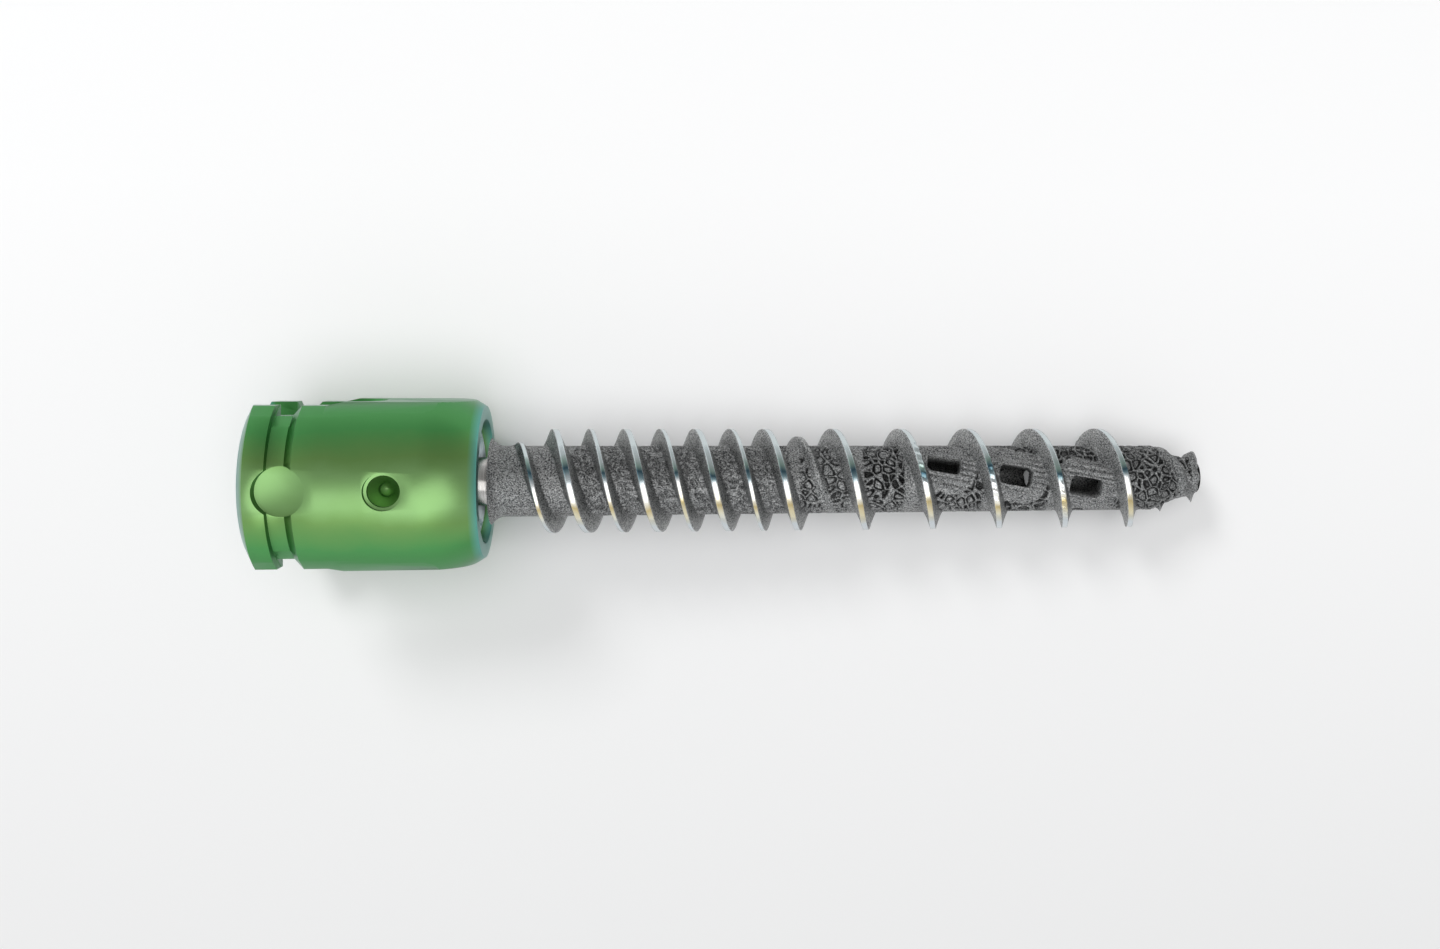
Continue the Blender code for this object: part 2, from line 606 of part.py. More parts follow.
def main():
    clear_scene()
    parts = make_collection("sacroiliac_fusion_implant")
    cutters = make_collection("cutters")

    post = make_fixation_post(parts, cutters)
    sleeve = make_fusion_sleeve(parts, cutters)
    collet = make_retaining_collet(parts, cutters)
    head = make_tulip_head(parts, cutters)
    saddle = make_pressure_saddle(parts, cutters)

    add_material(post, "machined_titanium", (0.62, 0.62, 0.63), 1.0, 0.28)
    add_material(sleeve, "printed_titanium", (0.33, 0.33, 0.34), 1.0, 0.55)
    add_material(collet, "bright_titanium", (0.68, 0.72, 0.74), 1.0, 0.25)
    add_material(head, "green_anodised_titanium", (0.07, 0.29, 0.10), 1.0, 0.35)
    add_material(saddle, "grey_titanium", (0.50, 0.51, 0.53), 1.0, 0.35)

    rest = add_empty("rest_frame", parts)
    ball_pivot = add_empty("ball_pivot", parts, rest)
    head_axis = add_empty("head_axis", parts, ball_pivot)
    post.parent = rest
    sleeve.parent = rest
    collet.parent = ball_pivot
    head.parent = head_axis
    saddle.parent = head_axis
    # the saddle's origin lies at its rod seat, on the line that it slides along
    saddle.location = (ROD_SEAT, 0.0, 0.0)
    saddle.data.transform(Matrix.Translation((-ROD_SEAT, 0.0, 0.0)))
    for cutter in cutters.objects:
        cutter.parent = rest
    lay_down(rest, [post, sleeve, collet, head, saddle])
    for obj in (post, sleeve, collet, head, saddle):
        obj.data.shade_smooth()
        obj.data.set_sharp_from_angle(angle=math.radians(30.0))


main()
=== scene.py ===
# %% [markdown]
# # Sacroiliac fusion implant
# This implant pins the pelvis to the base of the spine. A printed titanium shaft carries a machined
# thread and grows into the bone, and a green anodised head on a ball joint takes a spinal rod.
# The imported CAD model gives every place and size. This lesson builds finer pieces over it, one part
# of the real object at a time, and then gives each its finish, the light and the camera.

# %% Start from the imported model
import json
import math

import bmesh
import bpy
import numpy as np
from mathutils import Matrix, Vector, noise


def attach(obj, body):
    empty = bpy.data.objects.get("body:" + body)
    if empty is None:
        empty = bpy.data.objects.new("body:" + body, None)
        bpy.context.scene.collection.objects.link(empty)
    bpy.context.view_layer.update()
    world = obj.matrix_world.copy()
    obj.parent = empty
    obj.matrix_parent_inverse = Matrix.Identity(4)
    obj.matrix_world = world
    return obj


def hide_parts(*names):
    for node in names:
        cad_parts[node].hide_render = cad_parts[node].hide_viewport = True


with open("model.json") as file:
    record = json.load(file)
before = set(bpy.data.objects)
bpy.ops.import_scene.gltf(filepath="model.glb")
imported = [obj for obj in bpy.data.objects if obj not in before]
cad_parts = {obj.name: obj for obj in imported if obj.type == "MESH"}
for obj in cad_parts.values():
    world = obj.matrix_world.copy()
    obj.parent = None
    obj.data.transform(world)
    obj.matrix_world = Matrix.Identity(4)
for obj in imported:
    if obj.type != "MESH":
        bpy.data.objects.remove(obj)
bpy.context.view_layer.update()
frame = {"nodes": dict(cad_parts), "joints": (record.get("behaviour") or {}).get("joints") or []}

MM = 0.001
print("CAD nodes:", sorted(frame["nodes"]))

# %% [markdown]
# The implant lies on its side, so its shaft leans a little. Working along a leaning axis is awkward.
# The two joints of the head already know that axis: one turns about the shaft and one tilts about the
# arms' direction, both through the ball's centre. A matrix made from them lets each piece be drawn
# straight, with X along the shaft, and then laid down with the rest.

# %% The implant's own axes, read from its joints
joints = {joint["name"]: joint for joint in frame["joints"]}
ball_centre = Vector(joints["head_tilt"]["pos_m"])
along = Vector(joints["head_spin"]["axis"]).normalized()
towards = Vector(joints["head_tilt"]["axis"]).normalized()
sideways = towards.cross(along).normalized()
LAID = Matrix.Translation(ball_centre) @ Matrix((along, sideways, towards)).transposed().to_4x4()
print("shaft leans by %.2f degrees" % math.degrees(math.asin(-along.z)))


# %% [markdown]
# Colours are written as sRGB hex values, which is how a picker shows them. Shaders want linear light,
# so one function converts them. A second one adds a shader node with its settings and links, which
# keeps each recipe short enough to read. Three short ones on top of it rescale a value, turn a value
# into bumps and spread colours over a value.

# %% Helpers for every finish
def linear(hex_colour):
    values = [int(hex_colour[i:i + 2], 16) / 255.0 for i in (1, 3, 5)]
    return [v / 12.92 if v <= 0.04045 else ((v + 0.055) / 1.055) ** 2.4 for v in values] + [1.0]


def add(tree, kind, inputs=None, **settings):
    node = tree.nodes.new(kind)
    for name, value in settings.items():
        setattr(node, name, value)
    for key, value in (inputs or {}).items():
        if isinstance(value, bpy.types.NodeSocket):
            tree.links.new(value, node.inputs[key])
        else:
            node.inputs[key].default_value = value
    return node


def rescaled(tree, value, start, end, low=0.0, high=1.0):
    """Rescale a value from one span to another; returns its socket."""
    return add(tree, "ShaderNodeMapRange", {"Value": value, "From Min": start, "From Max": end,
                                            "To Min": low, "To Max": high}).outputs[0]


def bumped(tree, shader, value, strength, depth):
    """Roughen a surface by a value, as deep as given in millimetres."""
    node = add(tree, "ShaderNodeBump", {"Height": value, "Strength": strength, "Distance": depth * MM})
    tree.links.new(node.outputs["Normal"], shader.inputs["Normal"])


def toned(tree, value, stops):
    """A colour ramp over a value, from pairs of position and hex colour; returns its colour socket."""
    node = add(tree, "ShaderNodeValToRGB", {"Fac": value})
    ramp = node.color_ramp.elements
    ramp[0].position, ramp[0].color = stops[0][0], linear(stops[0][1])
    ramp[1].position, ramp[1].color = stops[-1][0], linear(stops[-1][1])
    for position, hex_colour in stops[1:-1]:
        ramp.new(position).color = linear(hex_colour)
    return node.outputs["Color"]


# %% [markdown]
# A metal part is easiest to draw as half of its own outline, turned round its axis, as on a lathe.
# The lathe below takes the outline as pairs of distance along the shaft and radius, and closes on
# itself, so that the result is solid and can be cut. Cutters are swept from rings of points. Both end
# in the same way, so that step is a helper too.

# %% A lathe for outlines
def placed(name, data):
    """Make an object from its data and put it in the scene."""
    thing = bpy.data.objects.new(name, data)
    bpy.context.scene.collection.objects.link(thing)
    return thing


def solid(name, bm):
    bmesh.ops.recalc_face_normals(bm, faces=bm.faces)
    mesh = bpy.data.meshes.new(name)
    bm.to_mesh(mesh)
    bm.free()
    return placed(name, mesh)


def turned(name, outline, facets):
    bm = bmesh.new()
    rows = []
    for x, radius in outline:
        row = []
        for k in range(facets):
            turn = 2.0 * math.pi * (k + 0.5) / facets
            point = Vector((x, radius * math.cos(turn), radius * math.sin(turn)))
            row.append(bm.verts.new(point * MM))
        rows.append(row)
    for row, after in zip(rows, rows[1:] + rows[:1]):
        for k in range(facets):
            bm.faces.new((row[k], row[(k + 1) % facets], after[(k + 1) % facets], after[k]))
    return solid(name, bm)


def swept(name, rings):
    """Join rings of points (in millimetres) into a solid, to use as a cutter."""
    bm = bmesh.new()
    rows = [[bm.verts.new(Vector(point) * MM) for point in ring] for ring in rings]
    size = len(rows[0])
    for row, after in zip(rows, rows[1:]):
        for k in range(size):
            bm.faces.new((row[k], row[(k + 1) % size], after[(k + 1) % size], after[k]))
    bm.faces.new(rows[0])
    bm.faces.new(reversed(rows[-1]))
    return solid(name, bm)


def arc(centre, radius, start, end, steps):
    """Points on a circle in the outline's plane, between two angles in degrees."""
    angles = [math.radians(start + (end - start) * k / steps) for k in range(steps + 1)]
    return [(centre[0] + radius * math.cos(a), centre[1] + radius * math.sin(a)) for a in angles]


# %% [markdown]
# Slots, pockets and holes are cut with Booleans, as a mill would cut them. Each cutter is a solid of
# its own and is deleted once the cut is applied. A real edge is never perfectly sharp, so a small
# bevel follows, which also gives each edge its line of light.

# %% A mill for slots and holes, and a file for edges
def evaluated_mesh(piece):
    depsgraph = bpy.context.evaluated_depsgraph_get()
    return bpy.data.meshes.new_from_object(piece.evaluated_get(depsgraph))


def mill(piece, cutters, operation='DIFFERENCE'):
    for cutter in cutters:
        step = piece.modifiers.new("mill", 'BOOLEAN')
        step.operation = operation
        step.solver = 'EXACT'
        step.object = cutter
    mesh = evaluated_mesh(piece)
    piece.modifiers.clear()
    piece.data = mesh
    for cutter in cutters:
        bpy.data.objects.remove(cutter, do_unlink=True)


def ease_edges(piece, width, angle=32.0, segments=2):
    """Bevel the sharp edges by a width in millimetres, then shade smooth between them."""
    step = piece.modifiers.new("edges", 'BEVEL')
    step.width = width * MM
    step.segments = segments
    step.limit_method = 'ANGLE'
    step.angle_limit = math.radians(angle)
    step.use_clamp_overlap = True
    step.miter_outer = 'MITER_ARC'
    mesh = evaluated_mesh(piece)
    piece.modifiers.clear()
    piece.data = mesh
    mesh.shade_smooth()
    mesh.set_sharp_from_angle(angle=math.radians(angle))


def lay(piece, body, node):
    """Lay a finished piece down in place of its CAD node."""
    piece.matrix_world = LAID
    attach(piece, body)
    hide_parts(node)
    faces = sum(len(face.vertices) - 2 for face in piece.data.polygons)
    print("%s: %d triangles" % (piece.name, faces))


# %% [markdown]
# ## The sleeve
# The shaft is printed from titanium powder and its crests are then turned on a lathe. All of it
# follows one helix: a wide crest every 7 mm, a thin second start between, and the valley with its
# cells and windows. A Boolean of that many cells would be slow and ragged. A strip of grid that winds
# round with the helix is better: its lines run along the crests, so their edges stay crisp, and each
# point only needs a radius.

# %% Sizes of the sleeve, in millimetres from the ball's centre
SLEEVE_START = 6.65
TIP = 79.66
TIP_TAPER_START = TIP - 5.0
LEAD = 7.0
FIRST_CREST = 12.8
CREST_RADIUS = 5.2
WIDE_HALF = 0.275
THIN_HALF = 0.175
WIDE_FLANK = 0.95
THIN_FLANK = 0.68
COLLAR_RADIUS = 4.3
NECK_RADIUS = 3.53
FLARE_LENGTH = 1.45
ROOT_TAPER = 0.13
HOLLOW_RADIUS = 1.9
WALL_RADIUS = 3.45
CANNULA = 0.9
CORE_RADIUS = 2.4
CORE_END = 42.15
GAP = 0.3
BALL = 4.9
SEAT = BALL + GAP
STATIONS = 200


def smooth(value, start, end):
    share = np.clip((value - start) / (end - start), 0.0, 1.0)
    return share * share * (3.0 - 2.0 * share)


def root_radius(x):
    flare = np.clip((x - SLEEVE_START) / FLARE_LENGTH, 0.0, 1.0)
    neck = NECK_RADIUS + (COLLAR_RADIUS - NECK_RADIUS) * (1.0 - np.sin(flare * math.pi / 2.0)) ** 1.5
    body = neck - ROOT_TAPER * np.clip((x - SLEEVE_START) / (TIP_TAPER_START - SLEEVE_START), 0.0, 1.0)
    taper = 1.1 * np.clip((x - TIP_TAPER_START) / 2.6, 0.0, 1.0)
    taper = taper + 0.35 * np.clip((x - TIP + 2.4) / 2.0, 0.0, 1.0)
    into_nose = np.clip((x - TIP + 0.7) / 0.7, 0.0, 1.0)
    return body - taper - 0.7 * (1.0 - np.sqrt(1.0 - into_nose ** 2))


# %% [markdown]
# Across one lead the strip has fewer lines on the flanks and many in the valley, where the cells are.
# The crests' edges lie exactly on lines of the grid.

# %% Lines of the grid across one lead
across = np.concatenate([
    np.linspace(0.0, WIDE_HALF, 3)[:-1], np.linspace(WIDE_HALF, WIDE_FLANK, 9)[:-1],
    np.linspace(WIDE_FLANK, LEAD / 2.0 - THIN_HALF, 31)[:-1],
    np.linspace(LEAD / 2.0 - THIN_HALF, LEAD / 2.0 + THIN_HALF, 5)[:-1],
    np.linspace(LEAD / 2.0 + THIN_HALF, LEAD - WIDE_FLANK, 31)[:-1],
    np.linspace(LEAD - WIDE_FLANK, LEAD - WIDE_HALF, 9)[:-1], np.linspace(LEAD - WIDE_HALF, LEAD, 3)])
print("%d lines across a lead" % len(across))


# %% [markdown]
# A ridge stands on the root with a flat crest and hollow flanks. Its height changes along the helix:
# the wide one rises behind the neck and ends in a low printed ridge on the tip, and the thin one
# fades out in the middle of the shaft, where it was never turned and stays rough.

# %% Ridges of the thread
def ridge(distance, half, foot, height, floor):
    slope = np.clip((foot - distance) / (foot - half), 0.0, 1.0)
    return floor + np.maximum(height - floor, 0.0) * slope ** 1.35


def wide_crest(turns, floor):
    rise = smooth(turns, -0.42, -0.08)
    fall = 1.0 - smooth(turns, 8.5, 8.9)
    low = np.where(turns > 8.0, floor, floor - 0.2)
    return low + (CREST_RADIUS - low) * np.minimum(rise, fall)


def second_crest(turns, floor):
    rise = smooth(turns, -0.72, -0.1)
    fall = 1.0 - smooth(turns, 3.0, 4.1)
    return floor - 0.2 + (CREST_RADIUS - floor + 0.2) * np.minimum(rise, fall)


def tip_ridge(distance, turns, height):
    """A narrow printed ridge on the tip, above the root, in millimetres."""
    shape = np.clip(1.0 - distance / 0.5, 0.0, 1.0) ** 1.2
    return shape * height * smooth(turns, 8.72, 8.9) * (1.0 - smooth(turns, 9.5, 9.62))


# %% [markdown]
# Six windows open the hollow sleeve to the bone, three on each side. They follow the valley, and each
# is a short slot with rounded corners that slopes a little. The distance to a slot's outline decides
# everything near it: the edge, the smooth frame and the drop through the wall.

# %% Windows
WINDOWS = []
for k in range(6):
    turns = 5.156 + 0.53125 * k
    WINDOWS.append((FIRST_CREST + LEAD * turns + 2.96, 2.0 * math.pi * turns))
WINDOW_HALF_LENGTH = 1.75
WINDOW_HALF_WIDTH = 1.04
WINDOW_CORNER = 0.6
WINDOW_SLOPE = math.radians(10.0)


def window_distance(x, turn, radius):
    """Distance in millimetres to the nearest window's outline, negative inside, the direction away from
    it, the place across its width and the angle of its middle."""
    nearest = np.full(x.shape, 99.0)
    out_x = np.zeros(x.shape)
    out_round = np.zeros(x.shape)
    over = np.zeros(x.shape)
    middle = np.zeros(x.shape)
    cos_slope, sin_slope = math.cos(WINDOW_SLOPE), math.sin(WINDOW_SLOPE)
    for centre, angle in WINDOWS:
        gap = turn - angle
        u = x - centre
        v = radius * np.sin(gap)
        length = u * cos_slope + v * sin_slope
        width = v * cos_slope - u * sin_slope
        reach = np.sign(length) * np.maximum(np.abs(length) - (WINDOW_HALF_LENGTH - WINDOW_CORNER), 0.0)
        rise = np.sign(width) * np.maximum(np.abs(width) - (WINDOW_HALF_WIDTH - WINDOW_CORNER), 0.0)
        span = np.hypot(reach, rise) + 1e-9
        distance = np.where(np.cos(gap) > 0.2, span - WINDOW_CORNER, 99.0)
        closer = distance < nearest
        nearest = np.where(closer, distance, nearest)
        out_x = np.where(closer, (reach * cos_slope - rise * sin_slope) / span, out_x)
        out_round = np.where(closer, (reach * sin_slope + rise * cos_slope) / span, out_round)
        over = np.where(closer, width, over)
        middle = np.where(closer, angle, middle)
    return nearest, out_x, out_round, over, middle


# %% [markdown]
# Bone grows into the open cells. They are a foam pattern: points scattered through space, with a
# strut wherever two points are equally near. Blender's Voronoi noise gives the two nearest distances,
# and their difference is small on a strut. The cells are shallow near the head, open and deep in the
# middle, and left out of the smooth patch round each window. A second noise bends them a little. It
# starts from random offsets, so a fixed seed comes first, and every run gives the same cells.

# %% Cells of the printed surface
noise.seed_set(7)
CELL = 1.04
zones = [(14.5, 36.1, 0.14, 0.9), (37.1, 42.1, 0.26, 0.9), (43.6, 47.7, 0.42, 0.92),
         (50.8, 56.0, 0.36, 0.9), (57.5, 62.8, 0.42, 0.6), (63.9, 68.1, 0.42, 0.55),
         (69.7, 78.6, 0.34, 0.75)]


def cell_relief(x, turn, radius, window, valley):
    """Depth of the cells at each point, in millimetres."""
    depth = np.zeros(x.shape)
    island = np.zeros(x.shape)
    for start, end, deep, stone in zones:
        inside = smooth(x, start - 0.15, start + 0.25) * (1.0 - smooth(x, end - 0.25, end + 0.15))
        depth = depth + inside * deep
        island = np.where(inside > 0.0, stone, island)
    beyond = smooth(window, 1.55, 1.9)
    depth = depth * np.where(x > 49.0, beyond, 1.0) * smooth(valley, 0.05, 0.35)
    relief = np.zeros(x.shape)
    busy = np.nonzero(depth > 0.002)
    for i in zip(*busy):
        r = radius[i]
        place = Vector((x[i] / CELL, r * math.cos(turn[i]) / CELL, r * math.sin(turn[i]) / CELL))
        bend = noise.noise_vector(place * 0.8) * 0.16
        near = noise.voronoi(place + bend)[0]
        edge = (near[1] - near[0]) * CELL
        groove = min(max((edge - 0.09) / 0.09, 0.0), 1.0)
        inner = min(max((edge - 0.24) / 0.12, 0.0), 1.0)
        relief[i] = depth[i] * (groove - island[i] * inner * inner)
    return relief


# %% [markdown]
# The strip is now filled in: a radius for each point from the root, the ridges, the cells and the
# windows. Points next to a window's outline are moved onto it, so that its edge is a clean curve, and
# faces inside it are left out. Powder leaves a faint unevenness everywhere but on the turned crests.

# %% The winding strip
def sleeve_points(first, last):
    """Arrays for the strip between two counts of turns: places, crest flags and depth of relief."""
    steps = int(round((last - first) * STATIONS)) + 1
    turns = first + np.arange(steps) / STATIONS
    turns, offset = np.meshgrid(turns, across, indexing="ij")
    x = FIRST_CREST + LEAD * turns + offset
    turn = 2.0 * math.pi * turns
    window, out_x, out_round, over, middle = window_distance(x, turn, WALL_RADIUS)
    moved = np.where(np.abs(window) < 0.06, window, 0.0)
    x_held = np.clip(x - moved * out_x, SLEEVE_START, TIP)
    turn = turn - moved * out_round / WALL_RADIUS
    window = window - moved
    floor = root_radius(x_held)
    wide_near = ridge(offset, WIDE_HALF, WIDE_FLANK, wide_crest(turns, floor), floor)
    wide_far = ridge(LEAD - offset, WIDE_HALF, WIDE_FLANK, wide_crest(turns + 1.0, floor), floor)
    second = ridge(np.abs(offset - LEAD / 2.0), THIN_HALF, THIN_FLANK,
                   second_crest(turns + 0.5, floor), floor)
    radius = np.maximum(np.maximum(wide_near, wide_far), np.maximum(second, floor))
    knobs = np.zeros(x.shape)
    for i in zip(*np.nonzero(x_held > TIP_TAPER_START - 1.0)):
        place = Vector((x_held[i], 2.4 * math.cos(turn[i]), 2.4 * math.sin(turn[i])))
        knobs[i] = noise.noise(place * 0.8)
    low_ridges = tip_ridge(offset, turns, 0.3 + 0.4 * smooth(turns, 9.0, 9.3))
    low_ridges = np.maximum(
        low_ridges, tip_ridge(LEAD - offset, turns + 1.0, 0.3 + 0.4 * smooth(turns, 8.0, 8.3)))
    low_ridges = np.maximum(low_ridges, tip_ridge(np.abs(offset - LEAD / 2.0), turns + 0.5, 0.45))
    blob_along = (x_held - 79.0) / 0.45
    blob_round = 2.0 * np.sin((turn - 0.25) / 2.0) / 0.45
    blob = 0.75 * np.exp(-blob_along ** 2 - blob_round ** 2)
    radius = (radius + low_ridges * (1.0 + 0.9 * knobs) + 0.35 * knobs * smooth(x_held, 76.5, 78.5)
              + blob)
    valley = np.minimum(offset - WIDE_FLANK, LEAD - WIDE_FLANK - offset) + 0.25
    with_second = np.abs(offset - LEAD / 2.0) - THIN_FLANK + 0.25
    valley = np.where((turns + 0.5 < 4.1), np.minimum(valley, with_second), valley)
    relief = cell_relief(x_held, turn, floor, window, valley)
    on_wide = (offset <= WIDE_HALF + 1e-6) & (turns < 8.75)
    on_wide = on_wide | ((offset >= LEAD - WIDE_HALF - 1e-6) & (turns < 7.75))
    on_thin = (np.abs(offset - LEAD / 2.0) <= THIN_HALF + 1e-6) & (turns < 2.9)
    crest = (on_wide | on_thin) & (radius > floor + 0.25)
    flank = np.clip((radius - floor) / (CREST_RADIUS - floor), 0.0, 1.0)
    # inside a window the walls run straight in, so the angle grows as the radius shrinks
    across_wall = np.clip(WALL_RADIUS / HOLLOW_RADIUS * np.sin(turn - middle), -1.0, 1.0)
    through = window < -0.03
    turn = np.where(through, middle + np.arcsin(across_wall), turn)
    radius = np.where(through, HOLLOW_RADIUS, radius)
    return x_held, turn, radius, relief, window, over, crest, flank


def sleeve_strip(name, first, last):
    x, turn, radius, relief, window, over, crest, flank = sleeve_points(first, last)
    rough = np.zeros(x.shape)
    for i in np.ndindex(x.shape):
        if not crest[i]:
            place = Vector((x[i], radius[i] * math.cos(turn[i]), radius[i] * math.sin(turn[i])))
            rough[i] = 0.035 * noise.noise(place * 4.0) + 0.025 * noise.noise(place * 10.0)
    framed = smooth(window, 0.05, 0.3) * (1.0 - smooth(window, 1.3, 1.7))
    ribs = 0.07 * framed * np.cos(over * 2.0 * math.pi / 0.55)
    smooth_patch = smooth(window, 0.1, 1.4)
    rough = rough * np.where(x > 49.0, 0.35 + 0.65 * smooth_patch, 1.0)
    collar = smooth(x, SLEEVE_START, SLEEVE_START + 0.5)
    radius = radius - relief + np.where(window > 0.0, np.minimum(rough * collar, 0.0) + ribs, 0.0)
    rows, columns = x.shape
    places = np.stack([x, radius * np.cos(turn), radius * np.sin(turn)], axis=-1).reshape(-1, 3) * MM
    corner = np.arange(rows - 1)[:, None] * columns + np.arange(columns - 1)[None, :]
    quads = np.stack([corner, corner + 1, corner + columns + 1, corner + columns], axis=-1)
    quads = quads.reshape(-1, 4)
    flat_x = x.reshape(-1)
    corner_x = flat_x[quads]
    spread = corner_x.max(axis=1) - corner_x.min(axis=1)
    open_here = (window.reshape(-1)[quads] < -0.03).sum(axis=1) >= 4
    quads = quads[(spread > 0.004) & ~open_here]
    used = np.unique(quads)
    renumber = np.zeros(len(places), int)
    renumber[used] = np.arange(len(used))
    mesh = bpy.data.meshes.new(name)
    mesh.from_pydata(places[used].tolist(), [], renumber[quads].tolist())
    # cell depth and height up each ridge, kept for the painted shade and painted light of the printed
    # finish
    shade = mesh.attributes.new("relief", 'FLOAT', 'POINT')
    shade.data.foreach_set("value", (relief.reshape(-1)[used] / 0.4).astype(np.float32))
    shade = mesh.attributes.new("flank", 'FLOAT', 'POINT')
    shade.data.foreach_set("value", flank.reshape(-1)[used].astype(np.float32))
    turned_face = crest.reshape(-1)[quads].all(axis=1)
    mesh.polygons.foreach_set("material_index", turned_face.astype(np.int32))
    mesh.polygons.foreach_set("use_smooth", np.ones(len(quads), bool))
    mesh.update()
    return placed(name, mesh)


sleeve_lower = sleeve_strip("sleeve_head_half", -2.0, 4.2)
sleeve_upper = sleeve_strip("sleeve_tip_half", 4.2, 9.6)
print("sleeve strips:", len(sleeve_lower.data.polygons), len(sleeve_upper.data.polygons))


# %% [markdown]
# The strip is only the outside of the shaft. Its bore, the hollow behind the windows and both end
# faces are one more turned surface. The hollow's wall has the same windows, so that light falls
# through them, as it does through the real sleeve.

# %% Bore, hollow and end faces
def sleeve_inside():
    core_bore, core_stop, hollow_stop = CORE_RADIUS + GAP, CORE_END + GAP, 73.1
    outline = [(SLEEVE_START, COLLAR_RADIUS), (SLEEVE_START, 4.1), (SLEEVE_START, core_bore + 0.1),
               (SLEEVE_START + 0.1, core_bore), (core_stop, core_bore)]
    outline += [(x, HOLLOW_RADIUS) for x in np.arange(core_stop, hollow_stop, 0.2)]
    outline += [(hollow_stop + 1.1, CANNULA), (TIP - 0.15, CANNULA), (TIP, CANNULA + 0.15), (TIP, 1.6)]
    bm = bmesh.new()
    facets = 96
    rows = []
    for x, radius in outline:
        turns = [2.0 * math.pi * k / facets for k in range(facets)]
        rows.append([bm.verts.new((x * MM, radius * math.cos(a) * MM, radius * math.sin(a) * MM))
                     for a in turns])
    for i in range(len(outline) - 1):
        x = (outline[i][0] + outline[i + 1][0]) / 2.0
        for k in range(facets):
            turn = 2.0 * math.pi * (k + 0.5) / facets
            distance = window_distance(np.array([x]), np.array([turn]), HOLLOW_RADIUS)[0][0]
            if distance > 0.0:
                bm.faces.new((rows[i][k], rows[i + 1][k], rows[i + 1][(k + 1) % facets],
                              rows[i][(k + 1) % facets]))
    mesh = bpy.data.meshes.new("sleeve_inside")
    bm.to_mesh(mesh)
    bm.free()
    mesh.shade_smooth()
    mesh.set_sharp_from_angle(angle=math.radians(35.0))
    return placed("sleeve_inside", mesh)


sleeve_lining = sleeve_inside()

# %% [markdown]
# ## The post
# A solid titanium core runs inside the sleeve and ends in the ball of the joint. Only the waist and
# the ball can be seen, past the rod slot, with the hex socket that the driver turns.

# %% Ball, waist, core and hex socket
BALL_TOP = -4.1
HEX_CORNER = 2.309
SOCKET_FLOOR = -0.5
ball = arc((0.0, 0.0), BALL, math.degrees(math.acos(BALL_TOP / BALL)),
           math.degrees(math.asin(CORE_RADIUS / BALL)), 40)
core = [(CORE_END, CORE_RADIUS), (CORE_END, CANNULA)]
post = turned("post_and_ball", [(BALL_TOP, CANNULA)] + ball + core, 96)
corners = [math.radians(60 * k) for k in range(6)]
hexagon = [(HEX_CORNER * math.cos(a), HEX_CORNER * math.sin(a)) for a in corners]
mill(post, [swept("hex", [[(x, y, z) for y, z in hexagon] for x in (-8.0, SOCKET_FLOOR)])])
ease_edges(post, 0.08)

# %% [markdown]
# ## The collet
# A slotted ring closes round the ball from below. Its eight fingers can spread when the ball snaps
# in, and their pale ends show in the mouth of the head. The ends lie on a cone, so that they clear the
# sleeve's collar by 0.3 mm when the head is tilted as far as it goes.

# %% Retaining collet
TILT = math.radians(12.0)
nose = [((SLEEVE_START - GAP - r * math.sin(TILT)) / math.cos(TILT), r) for r in (5.3, 4.5)]
seat = arc((0.0, 0.0), SEAT, math.degrees(math.acos(2.8 / SEAT)),
           math.degrees(math.acos(-0.5 / SEAT)), 16)
collet = turned("retaining_ring", [(-0.5, 6.2), (-0.2, 6.5), (3.0, 6.5), (4.2, 5.3)] + nose + seat, 128)
slots = []
for k in range(8):
    turn = Matrix.Rotation(math.radians(45.0 * k + 22.5), 3, 'X')
    ring = [(-0.25, 2.45), (0.25, 2.45), (0.25, 9.7), (-0.25, 9.7)]
    slots.append(swept("slot_%d" % k, [[turn @ Vector((x, y, z)) for y, z in ring]
                                       for x in (1.0, 12.0)]))
mill(collet, slots)
ease_edges(collet, 0.06)

# %% [markdown]
# ## The tulip head
# The head is turned from bar, milled with two side flats and a rod slot, and bored from both ends.
# A square-walled groove with one sloping wall, a round pocket and a staked hole on each arm are for
# the instruments that hold it. The outline is turned first, then milled in the same order.

# %% Turned body of the head
END = -15.3
FACE = 6.1
HEAD = 9.27
GROOVE_FLOOR = 8.4
DOME = 9.2066
DOME_LENGTH = 5.4
BORE, CAVITY, MOUTH = 5.5, 6.8, 5.6
groove, groove_end, slope_end = END + 2.79, END + 4.30, END + 5.17
outline = [(END, 7.61), (END + 0.9, HEAD), (groove, HEAD), (groove, GROOVE_FLOOR),
           (groove_end, GROOVE_FLOOR), (slope_end, HEAD), (-8.0, HEAD), (-4.0, HEAD)]
outline += arc((FACE - DOME_LENGTH, HEAD - DOME), DOME, 90.0,
               90.0 - math.degrees(math.asin(DOME_LENGTH / DOME)), 24)
outline += [(FACE, MOUTH + 0.6), (5.1, MOUTH), (4.5, MOUTH), (3.3, CAVITY), (-0.8, CAVITY),
            (-0.8, BORE), (END + 0.4, BORE), (END, BORE + 0.4)]
head = turned("tulip_body", outline, 192)


# %% [markdown]
# The flats are narrower near the groove and step out towards the base. One lofted limit gives both
# sides, with the strip of bevel that runs along each arm's edge. Keeping only what lies inside it is
# the same as milling all four long faces.

# %% Side flats with their bevels
def flats(stations, depth=0.9, drop=0.25, reach=10.62):
    rings = []
    for x, half, radius in stations:
        near = math.sqrt(radius ** 2 - half ** 2) - drop
        far = math.sqrt(radius ** 2 - (half - depth) ** 2)
        out = half - depth / (far - near) * (reach - near)
        rings.append([(x, half, near), (x, out, reach), (x, -out, reach), (x, -half, near),
                      (x, -half, -near), (x, -out, -reach), (x, out, -reach), (x, half, -near)])
    return swept("flats", rings)


